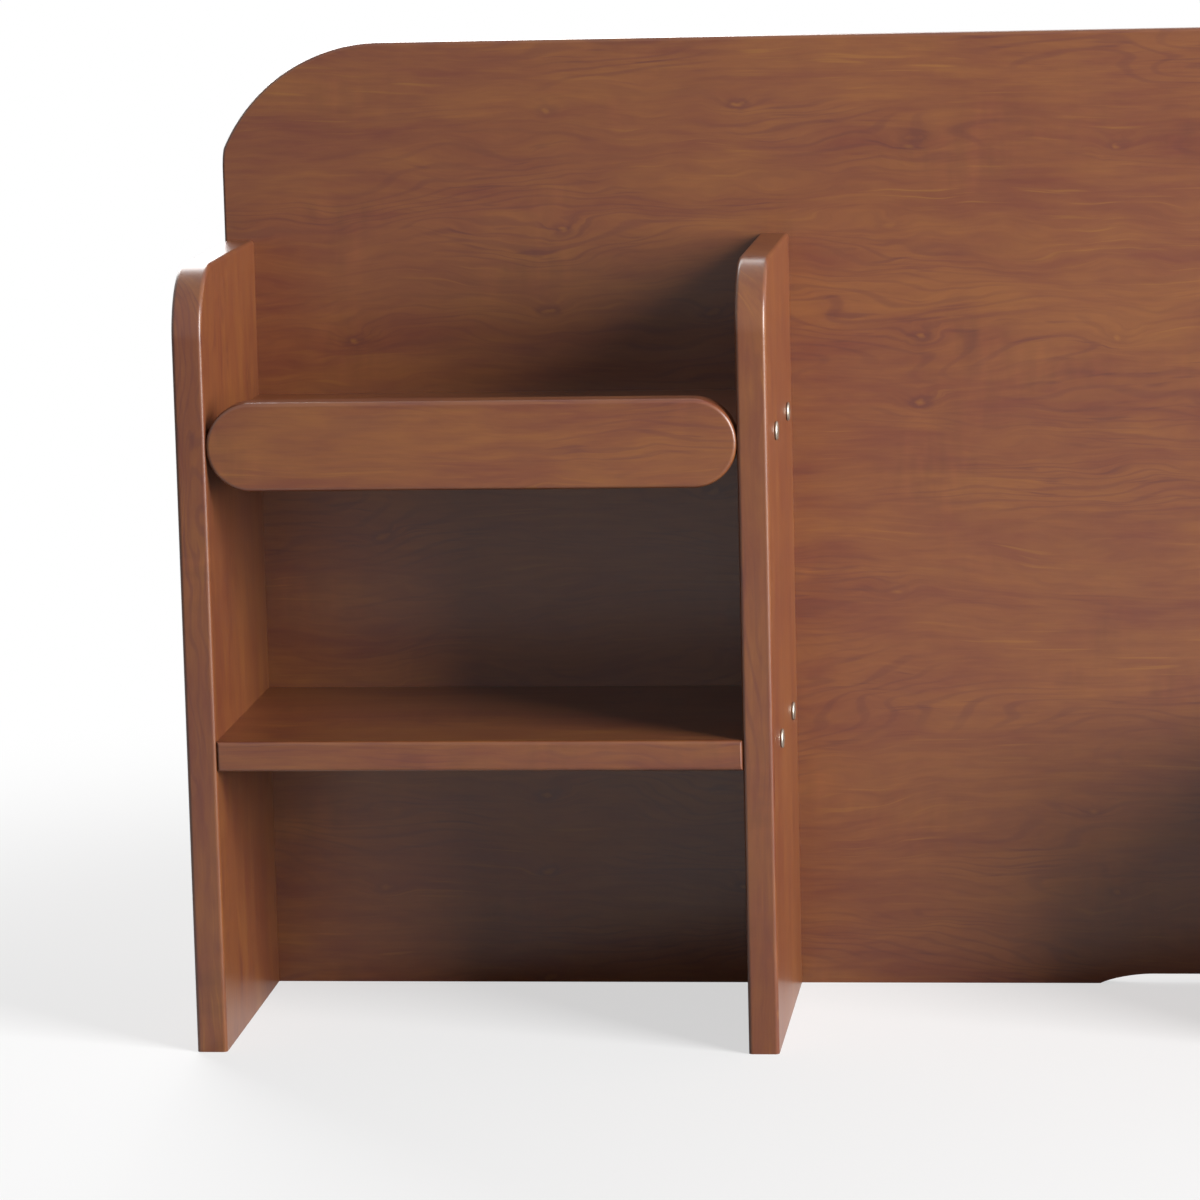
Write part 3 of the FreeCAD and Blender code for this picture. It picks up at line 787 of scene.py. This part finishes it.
    @staticmethod
    def drill(piece: Piece, profile: Profile, seats: Sequence[Vector], way: Vector) -> None:
        """Bore a piece at every seat with one exact boolean.

        Args:
            piece: The piece to bore.
            profile: The bore's half section, as in lathe, from its mouth inwards.
            seats: The middles of the bores' mouths.
            way: The way that the bores run into the wood.
        """
        bit = Bench.lathe("bit", profile, BORE_STEPS)
        turned = way.to_track_quat("X", "Z").to_matrix().to_4x4()
        copies = []
        for seat in seats:
            copy = bit.copy()
            copy.data = bit.data.copy()
            copy.data.transform(Matrix.Translation(seat) @ turned)
            bpy.context.collection.objects.link(copy)
            copies.append(copy)
        bpy.data.objects.remove(bit)
        Bench.clear()
        for copy in copies:
            copy.select_set(True)
        bpy.context.view_layer.objects.active = copies[0]
        bpy.ops.object.join()
        Bench.carve(piece, copies[0])

    @staticmethod
    def settle(piece: Piece, material: bpy.types.Material, slot: str, angle: float = 32.0) -> None:
        """Smooth the shading, lay on the material and fix the piece to the hutch.

        Args:
            piece: The finished mesh.
            material: What it is covered with.
            slot: The record's material slot; not used.
            angle: Edges blunter than this many degrees are shaded smooth.
        """
        Bench.clear()
        piece.select_set(True)
        bpy.context.view_layer.objects.active = piece
        bpy.ops.object.transform_apply(location=True, rotation=True, scale=True)
        bpy.ops.object.shade_smooth_by_angle(angle=math.radians(angle))
        weighted = piece.modifiers.new("even shading", "WEIGHTED_NORMAL")
        weighted.keep_sharp = True
        bpy.ops.object.modifier_apply(modifier=weighted.name)
        piece.data.materials.clear()
        piece.data.materials.append(material)
        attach(piece, BODY)
        LOG.info("%s: %d faces", piece.name, len(piece.data.polygons))


# ---- Boards ----


@dataclass
class Board:
    """A board that stands for one CAD node of the same shape."""

    node: str
    seed: float
    # Brightness factor: partly the board's own tone, partly painted light for how brightly the board
    # is lit.
    tone_and_painted_light: float = 1.0
    edge_round: float = 2.5 * MM
    edge_steps: int = 5
    slot: str = "shelf_wood"
    grain: Grain = Grain.LONG_SHELF
    under_bores: Grid | None = None
    bore_depth: float = 16 * MM
    low: Vector = field(init=False)
    high: Vector = field(init=False)

    def __post_init__(self) -> None:
        """Take the board's size and place from its CAD node."""
        self.low, self.high = measure(self.node)

    def build(self) -> Piece:
        """Model the board, dress it and hide the node it stands for.

        Returns:
            The finished piece.
        """
        piece = self.shape()
        self.bore(piece)
        wood = CHERRY.material(f"cherry {self.node}", self.grain, self.seed, self.tone_and_painted_light)
        Bench.settle(piece, wood, self.slot)
        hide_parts(self.node)
        return piece

    def shape(self) -> Piece:
        """A plain board with its front rim rounded."""
        piece = Bench.block(f"{self.node}_board", self.low, self.high)
        Bench.round_edges(piece, self.on_front_rim, self.edge_round, self.edge_steps)
        return piece

    def bore(self, piece: Piece) -> None:
        """Cut the blind bores that take nuts or inserts from below.

        Args:
            piece: The board.
        """
        if self.under_bores is None:
            return
        radius = self.under_bores.radius + BORE_PLAY
        profile = [(-MM, 0), (-MM, radius), (self.bore_depth, radius), (self.bore_depth, 0)]
        own = [place for place in self.under_bores.places() if self.low.x < place.x < self.high.x]
        seats = [Vector((place.x, place.y, self.low.z)) for place in own]
        Bench.drill(piece, profile, seats, UP)

    def on_front_rim(self, edge: Edge) -> bool:
        """Whether an edge borders the front face."""
        return all(near(vert.co.y, self.low.y) for vert in edge.verts)


@dataclass
class TuckedShelf(Board):
    """The upper shelf, whose front edge is hidden behind the rail."""

    edge_round: float = 0.4 * MM
    edge_steps: int = 2


@dataclass
class Upright(Board):
    """An upright whose front, top and front corner are rounded."""

    corner: float = 0.0
    corner_steps: int = 20
    bore_depth: float = 15 * MM
    slot: str = "upright_wood"
    grain: Grain = Grain.STANDING

    def shape(self) -> Piece:
        """Round the top front corner, then the whole showing rim.

        Returns:
            The bare board.
        """
        piece = Bench.block(f"{self.node}_board", self.low, self.high)
        if self.corner:
            Bench.round_edges(piece, self.on_top_front, self.corner, self.corner_steps)
        Bench.round_edges(piece, self.on_showing_rim, self.edge_round, self.edge_steps)
        return piece

    def on_top_front(self, edge: Edge) -> bool:
        """Whether an edge is the one at the top of the front."""
        return all(
            near(vert.co.y, self.low.y) and near(vert.co.z, self.high.z) for vert in edge.verts
        )

    def on_showing_rim(self, edge: Edge) -> bool:
        """Pick the rim that is rounded.

        Args:
            edge: The edge in question.

        Returns:
            Whether it lies in a side face, away from the back and the foot.
        """
        first, second = (vert.co for vert in edge.verts)
        in_side_face = near(first.x, second.x)
        at_back = near(first.y, self.high.y) and near(second.y, self.high.y)
        at_foot = near(first.z, self.low.z) and near(second.z, self.low.z)
        return in_side_face and not at_back and not at_foot


@dataclass
class PillRail(Board):
    """The front rail, whose ends are half rounds as high as the rail."""

    end_steps: int = 24

    def shape(self) -> Piece:
        """Round the ends fully, then the rims of the front and the back.

        Returns:
            The bare board.
        """
        piece = Bench.block(f"{self.node}_board", self.low, self.high)
        half_height = (self.high.z - self.low.z) / 2
        Bench.round_edges(piece, self.on_corner, half_height, self.end_steps)
        Bench.round_edges(piece, self.on_rim, self.edge_round, self.edge_steps)
        return piece

    def on_corner(self, edge: Edge) -> bool:
        """Whether an edge runs from the front to the back at a corner."""
        first, second = (vert.co for vert in edge.verts)
        return not near(first.y, second.y)

    def on_rim(self, edge: Edge) -> bool:
        """Whether an edge borders the front or the back face."""
        first, second = (vert.co for vert in edge.verts)
        return near(first.y, second.y)


@dataclass
class BackPanel(Board):
    """The tall thin panel with broad corners and a cable notch at its foot."""

    edge_round: float = 2.0 * MM
    edge_steps: int = 4
    slot: str = "panel_wood"
    grain: Grain = Grain.LONG_PANEL
    corner: float = 107 * MM
    corner_inset: float = 98.5 * MM
    corner_blend: float = 10 * MM
    blend_steps: int = 6
    corner_steps: int = 40
    notch_length: float = 124 * MM
    notch_height: float = 6 * MM
    notch_run: float = 12 * MM
    notch_round: float = 20 * MM
    notch_steps: int = 8

    def shape(self) -> Piece:
        """Draw the outline at the front face, fill it and give it its thickness.

        Returns:
            The bare board.
        """
        piece = self.outline()
        bpy.ops.mesh.select_all(action="SELECT")
        bpy.ops.mesh.edge_face_add()
        thickness = self.high.y - self.low.y
        bpy.ops.mesh.extrude_region_move(TRANSFORM_OT_translate={"value": (0, thickness, 0)})
        bpy.ops.mesh.select_all(action="SELECT")
        bpy.ops.mesh.normals_make_consistent(inside=False)
        bpy.ops.object.mode_set(mode="OBJECT")
        Bench.round_edges(piece, self.on_kink, self.corner_blend, self.blend_steps)
        Bench.round_edges(piece, self.on_notch_shoulder, self.notch_round, self.notch_steps)
        Bench.round_edges(piece, self.on_rim, self.edge_round, self.edge_steps)
        return piece

    def bore(self, piece: Piece) -> None:
        """Cut a countersunk clearance hole for every back screw.

        Args:
            piece: The panel.
        """
        thickness = self.high.y - self.low.y
        mouth = BackScrew.head_radius + BORE_PLAY
        hole = BackScrew.thread_radius + BORE_PLAY
        profile = [(-MM, 0), (-MM, mouth), (0, mouth), (BackScrew.sink, hole)]
        profile += [(thickness + MM, hole), (thickness + MM, 0)]
        places = [place for group in SCREW_GROUPS for place in group.places()]
        seats = [Vector((place.x, self.high.y, place.z)) for place in places]
        Bench.drill(piece, profile, seats, FORWARDS)

    def outline(self) -> Piece:
        """Draw the closed outline as edges, starting at the left foot.

        Returns:
            The piece, left in edit mode.
        """
        low, high = self.low, self.high
        turn = math.asin(self.corner_inset / self.corner)
        rise = high.z - self.corner + self.corner * math.cos(turn)
        notch_flat = self.notch_length - 2 * self.notch_run
        foot = (high.x - low.x - self.notch_length) / 2
        piece = Bench.dot(f"{self.node}_board", low)
        self.draw(0, rise)
        self.swing(low.x + self.corner_inset, turn)
        self.draw(high.x - low.x - 2 * self.corner_inset, 0)
        self.swing(high.x - self.corner_inset, turn)
        self.draw(0, -rise)
        self.draw(-foot, 0)
        self.draw(-self.notch_run, self.notch_height)
        self.draw(-notch_flat, 0)
        self.draw(-self.notch_run, -self.notch_height)
        self.draw(-foot, 0)
        Bench.merge()
        return piece

    @staticmethod
    def draw(across: float, upwards: float) -> None:
        """Extrude the selected point to the side and upwards."""
        bpy.ops.mesh.extrude_region_move(
            TRANSFORM_OT_translate={"value": (across, 0, upwards)}
        )

    def swing(self, centre_x: float, turn: float) -> None:
        """Spin the selected point clockwise about a corner's centre.

        Args:
            centre_x: The centre's place along the panel.
            turn: How far to spin, in radians.
        """
        centre = (centre_x, self.low.y, self.high.z - self.corner)
        bpy.ops.mesh.spin(
            steps=self.corner_steps, angle=-turn, center=centre, axis=(0, 1, 0)
        )

    def on_kink(self, edge: Edge) -> bool:
        """Pick the creases where the corners meet the sides.

        Args:
            edge: The edge in question.

        Returns:
            Whether it is one of them.
        """
        first, second = (vert.co for vert in edge.verts)
        across = not near(first.y, second.y)
        at_side = near(abs(first.x), self.high.x)
        return across and at_side and first.z > self.low.z + self.corner

    def on_notch_shoulder(self, edge: Edge) -> bool:
        """Whether an edge is one of the two upper corners of the notch."""
        first, second = (vert.co for vert in edge.verts)
        across = not near(first.y, second.y)
        return across and near(first.z, self.low.z + self.notch_height)

    def on_rim(self, edge: Edge) -> bool:
        """Whether an edge runs along the outline, apart from the foot."""
        first, second = (vert.co for vert in edge.verts)
        along = near(first.y, second.y)
        return along and max(first.z, second.z) > self.low.z + 2 * self.notch_height


# ---- Hardware ----


@dataclass
class Fastener:
    """A turned fastener, modelled once and copied to every place of its kind."""

    name: str
    material: bpy.types.Material
    slot: str
    drive_turn: float = 0.9

    def pattern(self) -> Piece:
        """Model one fastener at the origin, pointing along X into the wood."""
        raise NotImplementedError

    def place_all(self, places: Sequence[tuple[str, Vector, float]]) -> None:
        """Put a copy at every place.

        Args:
            places: The node stood for, the seat and the turn about Z in degrees.
        """
        first = self.pattern()
        for number, (node, seat, turn) in enumerate(places, start=1):
            copy = first.copy()
            copy.data = first.data.copy()
            copy.name = f"{self.name}_{number}"
            bpy.context.collection.objects.link(copy)
            turned = Matrix.Rotation(math.radians(turn), 4, "Z")
            driven = Matrix.Rotation(self.drive_turn * number, 4, "X")
            copy.matrix_world = Matrix.Translation(seat) @ turned @ driven
            Bench.settle(copy, self.material, self.slot)
            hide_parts(node)
        bpy.data.objects.remove(first)


@dataclass
class DomedBolt(Fastener):
    """A connecting bolt with a low domed head and a hexagon socket."""

    head_radius: float = 5.75 * MM
    head_height: float = 2.0 * MM
    crown: float = 0.25 * MM
    head_round: float = 1.0 * MM
    undercut: float = 0.8 * MM
    socket_across: float = 4.0 * MM
    socket_depth: float = 1.4 * MM
    shank_radius: float = 3.0 * MM
    shank_length: float = 58 * MM
    tip_bevel: float = 1.0 * MM
    round_steps: int = 6
    turn_steps: int = 40

    def pattern(self) -> Piece:
        """Turn the head and the shank in one go, then cut the socket.

        Returns:
            The bolt, in object mode.
        """
        ring = self.head_radius - self.head_round
        shoulder = self.head_height - self.crown - self.head_round
        angles = [math.pi / 2 * step / self.round_steps for step in range(self.round_steps + 1)]
        profile = [(-self.head_height, 0.0), (-self.head_height + self.crown / 4, ring / 2)]
        profile += [
            (
                -shoulder - self.head_round * math.cos(angle),
                ring + self.head_round * math.sin(angle),
            )
            for angle in angles
        ]
        profile += [
            (0, self.head_radius - self.undercut),
            (0, self.shank_radius),
            (self.shank_length - self.tip_bevel, self.shank_radius),
            (self.shank_length, self.shank_radius - self.tip_bevel),
            (self.shank_length, 0),
        ]
        bolt = Bench.lathe(f"{self.name}_pattern", profile, self.turn_steps)
        Bench.carve(bolt, self.socket())
        return bolt

    def socket(self) -> Piece:
        """Make the six-sided plug that cuts the socket.

        Returns:
            The cutter, in object mode.
        """
        Bench.clear()
        corner_radius = self.socket_across / math.sqrt(3)
        bpy.ops.mesh.primitive_cylinder_add(
            vertices=6,
            radius=corner_radius,
            depth=2 * self.socket_depth,
            location=(-self.head_height, 0, 0),
            rotation=(0, math.pi / 2, 0),
        )
        bpy.ops.object.transform_apply(location=True, rotation=True, scale=True)
        return bpy.context.object


@dataclass
class BackScrew(Fastener):
    """A countersunk wood screw with a cross recess and a coarse thread."""

    head_radius: float = 4.0 * MM
    sink: float = 2.0 * MM
    core_radius: float = 1.35 * MM
    thread_radius: float = 2.0 * MM
    length: float = 32 * MM
    point: float = 6 * MM
    pitch: float = 2.2 * MM
    lip: float = 0.15 * MM
    groove: tuple[float, float] = (0.3, 0.7)
    recess_depth: float = 2.4 * MM
    recess_across: float = 4.4 * MM
    recess_wide: float = 0.95 * MM
    recess_taper: tuple[float, float] = (0.45, 0.8)
    turn_steps: int = 24

    def pattern(self) -> Piece:
        """Turn the head, shank and ridges, then cut the cross recess.

        Returns:
            The screw, in object mode.
        """
        neck = 3 * self.sink
        profile = [(0, 0), (0, self.head_radius - self.lip), (self.lip, self.head_radius)]
        profile += [(self.sink, self.thread_radius), (neck, self.thread_radius)]
        for ridge in range(int((self.length - self.point - neck) / self.pitch)):
            start = neck + ridge * self.pitch
            profile += [(start + share * self.pitch, self.core_radius) for share in self.groove]
            profile.append((start + self.pitch, self.thread_radius))
        profile += [(self.length - self.point, self.core_radius), (self.length, 0)]
        screw = Bench.lathe(f"{self.name}_pattern", profile, self.turn_steps)
        for turn in (0.0, math.pi / 2):
            Bench.carve(screw, self.wing(turn))
        return screw

    def wing(self, turn: float) -> Piece:
        """Make one tapered bar of the cross that cuts the recess.

        Args:
            turn: The bar's turn about the screw's axis, in radians.

        Returns:
            The cutter, in object mode.
        """
        half = Vector((self.recess_depth, self.recess_across / 2, self.recess_wide / 2))
        cutter = Bench.block("recess_cutter", -half, half)
        Bench.pick(cutter, "FACE", lambda face: face.normal.x > 0.9)
        bpy.ops.transform.resize(value=(1.0, *self.recess_taper))
        bpy.ops.object.mode_set(mode="OBJECT")
        cutter.data.transform(Matrix.Rotation(turn, 4, "X"))
        return cutter


NUT_RADIUS = 5.0 * MM
INSERT_RADIUS = 4.8 * MM
BOLT_GROUPS = (
    (Grid("left_outer_side_bolts", DomedBolt.head_radius, (1, 2, 2)), 0.0),
    (Grid("left_inner_side_bolts", DomedBolt.head_radius, (1, 2, 2)), 180.0),
    (Grid("right_inner_side_bolts", DomedBolt.head_radius, (1, 2, 1)), 0.0),
    (Grid("right_outer_side_bolts", DomedBolt.head_radius, (1, 2, 1)), 180.0),
)
SCREW_GROUPS = (
    Grid("left_upright_back_screws", BackScrew.head_radius, (2, 1, 4)),
    Grid("left_shelf_back_screws", BackScrew.head_radius, (2, 1, 2)),
    Grid("right_upright_back_screws", BackScrew.head_radius, (2, 1, 2)),
    Grid("right_shelf_back_screws", BackScrew.head_radius, (3, 1, 1)),
)


# ---- Sub-assemblies ----


@dataclass
class TallUnit:
    """The two-shelf unit at the left end of the panel."""

    corner: float = 42 * MM

    def build(self) -> None:
        """Build the uprights, the shelves and the rail."""
        feet = Grid("left_foot_inserts", INSERT_RADIUS, (2, 2, 1))
        for side, seed in (("outer", 3.1), ("inner", 7.7)):
            Upright(f"left_{side}_upright", seed, corner=self.corner, under_bores=feet).build()
        lower_nuts = Grid("left_lower_shelf_nuts", NUT_RADIUS, (2, 2, 1))
        upper_nuts = Grid("left_upper_shelf_nuts", NUT_RADIUS, (2, 2, 1))
        # The lower shelf and the rail are made a little lighter: partly own tone, partly painted
        # light for their well lit fronts.
        Board("left_lower_shelf", seed=11.3, tone_and_painted_light=1.05, under_bores=lower_nuts).build()
        TuckedShelf("left_upper_shelf", seed=15.9, under_bores=upper_nuts).build()
        PillRail("left_rail", seed=20.6, tone_and_painted_light=1.06).build()


@dataclass
class LowUnit:
    """The single low shelf at the right end of the panel."""

    def build(self) -> None:
        """Build the two low uprights and the shelf between them."""
        feet = Grid("right_foot_inserts", INSERT_RADIUS, (2, 2, 1))
        for side, seed in (("inner", 24.2), ("outer", 28.4)):
            Upright(f"right_{side}_upright", seed, under_bores=feet).build()
        nuts = Grid("right_shelf_nuts", NUT_RADIUS, (2, 2, 1))
        Board("right_shelf", seed=33.8, under_bores=nuts).build()


@dataclass
class Hardware:
    """Everything of metal and the dowels."""

    def build(self) -> None:
        """Build the showing fasteners and dress the hidden ones."""
        self.build_bolts()
        self.build_screws()
        self.dress_hidden()

    def build_bolts(self) -> None:
        """Put a domed bolt at every bolt of the four side groups."""
        places = []
        for group, turn in BOLT_GROUPS:
            low, high = measure(group.node)
            face = low.x + DomedBolt.head_height if turn == 0.0 else high.x - DomedBolt.head_height
            places += [
                (group.node, Vector((face, place.y, place.z)), turn) for place in group.places()
            ]
        bolt = DomedBolt("side_bolt", NICKEL.material("nickel plate"), "bolt_steel")
        bolt.place_all(places)

    def build_screws(self) -> None:
        """Put a countersunk screw at every screw of the four back groups."""
        places = []
        for group in SCREW_GROUPS:
            back = measure(group.node)[1].y
            places += [
                (group.node, Vector((place.x, back, place.z)), -90.0) for place in group.places()
            ]
        screw = BackScrew("back_screw", YELLOW_ZINC.material("yellow zinc plate"), "screw_steel")
        screw.place_all(places)

    def dress_hidden(self) -> None:
        """Give the nuts, inserts and dowels inside the boards their finishes."""
        zinc = ZINC.material("zinc plate")
        beech = BEECH.material("beech")
        for name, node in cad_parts.items():
            if name.endswith(("_nuts", "_inserts")):
                self.cover(node, zinc)
            if name.endswith("_dowels"):
                self.cover(node, beech)

    @staticmethod
    def cover(node: Piece, material: bpy.types.Material) -> None:
        """Put one material on every slot of a CAD node."""
        for slot in node.material_slots:
            slot.material = material
        LOG.info("%s: dressed", node.name)


# ---- Studio ----


@dataclass(frozen=True)
class SoftLamp:
    """A broad rectangular lamp that looks at the hutch."""

    name: str
    heading: float
    height_angle: float
    width: float
    tall: float
    power: float
    distance: float = 3.4
    aim: tuple[float, float, float] = (-0.15, 0.0, 0.30)

    def hang(self) -> None:
        """Put the lamp at its heading, counted from the front towards the right."""
        heading = math.radians(self.heading)
        height = math.radians(self.height_angle)
        level = math.cos(height)
        towards = Vector(
            (math.sin(heading) * level, -math.cos(heading) * level, math.sin(height))
        )
        data = bpy.data.lights.new(self.name, "AREA")
        data.shape = "RECTANGLE"
        data.size = self.width
        data.size_y = self.tall
        data.energy = self.power
        lamp = bpy.data.objects.new(self.name, data)
        lamp.location = Vector(self.aim) + towards * self.distance
        lamp.rotation_euler = (-towards).to_track_quat("-Z", "Y").to_euler()
        bpy.context.collection.objects.link(lamp)


@dataclass
class Studio:
    """A pale floor, a white surround, two broad soft lamps and the camera."""

    floor_size: float = 30.0
    floor_drop: float = 0.2 * MM
    floor_colour: Colour = (0.86, 0.86, 0.86)
    near_glow: float = 0.62
    far_glow: float = 1.0
    glow_from: float = 0.75
    glow_to: float = 1.35
    bounce_colour: Colour = (0.20, 0.17, 0.15)
    surround_light: float = 0.09
    lamps: tuple[SoftLamp, ...] = (
        SoftLamp("key lamp", heading=57.0, height_angle=17.0, width=1.6, tall=2.2, power=240.0),
        SoftLamp("rear lamp", heading=205.0, height_angle=30.0, width=2.2, tall=2.2, power=110.0),
    )
    eye: Vector = field(default_factory=lambda: Vector((-0.0015, -3.0600, 0.7564)))
    turn_left: float = 6.611
    tilt_down: float = 9.251
    roll: float = -1.402
    lens: float = 156.66
    sensor: float = 36.0

    def build(self) -> None:
        """Set the view transform, then build the surround, floor, lamps and camera."""
        bpy.context.scene.view_settings.view_transform = "Standard"
        self.surround()
        self.floor()
        for lamp in self.lamps:
            lamp.hang()
        self.camera()

    def surround(self) -> None:
        """White for the camera and for gloss, a low even light for everything else."""
        tree = ShaderTree(bpy.data.worlds.new("surround"))
        dim = tree.node("ShaderNodeBackground", None, {"Strength": self.surround_light})
        white = tree.node("ShaderNodeBackground", None, {"Color": WHITE})
        _, seen = tree.seen_directly()
        shown = tree.node("ShaderNodeMixShader", None, {0: seen, 1: dim, 2: white})
        bpy.context.scene.world = tree.finish(shown, "ShaderNodeOutputWorld")

    def floor(self) -> None:
        """A pale floor that keeps the hutch's shadow and fades to white away from it."""
        Bench.clear()
        place = (0, 0, -self.floor_drop)
        bpy.ops.mesh.primitive_plane_add(size=self.floor_size, location=place)
        floor = bpy.context.object
        floor.name = "studio_floor"
        tree = ShaderTree(bpy.data.materials.new("pale floor"))
        camera, seen = tree.seen_directly()
        centre = {0: tree.coordinates()}
        radius = tree.node("ShaderNodeVectorMath", {"operation": "LENGTH"}, centre, "Value")
        glow_share = radius.ramp(self.glow_from, self.glow_to, self.near_glow, self.far_glow)
        pale = tree.node("ShaderNodeBsdfDiffuse", None, {"Color": (*self.floor_colour, 1.0)})
        glow = tree.node("ShaderNodeEmission", None, {"Color": WHITE})
        shown = tree.node("ShaderNodeMixShader", None, {0: glow_share * camera, 1: pale, 2: glow})
        dim = tree.node("ShaderNodeBsdfDiffuse", None, {"Color": (*self.bounce_colour, 1.0)})
        laid = tree.node("ShaderNodeMixShader", None, {0: seen, 1: dim, 2: shown})
        floor.data.materials.append(tree.finish(laid))

    def camera(self) -> None:
        """Put the camera before the panel's middle and above it, turned left and down."""
        data = bpy.data.cameras.new("camera")
        data.sensor_width = self.sensor
        data.lens = self.lens
        data.clip_end = 100.0
        camera = bpy.data.objects.new("camera", data)
        turned = (
            Matrix.Rotation(math.radians(self.turn_left), 4, "Z")
            @ Matrix.Rotation(math.radians(90.0 - self.tilt_down), 4, "X")
            @ Matrix.Rotation(math.radians(self.roll), 4, "Z")
        )
        camera.matrix_world = Matrix.Translation(self.eye) @ turned
        bpy.context.collection.objects.link(camera)
        bpy.context.scene.camera = camera


def main() -> None:
    """Build the hutch and the studio round it."""
    logging.basicConfig(level=logging.INFO, format="%(name)s %(message)s")
    # The panel is made a little darker than the boards: partly own tone, partly painted shade.
    BackPanel("back_panel", seed=0.0, tone_and_painted_light=0.96).build()
    TallUnit().build()
    LowUnit().build()
    Hardware().build()
    Bench.clear()
    Studio().build()


if __name__ == "__main__":
    main()
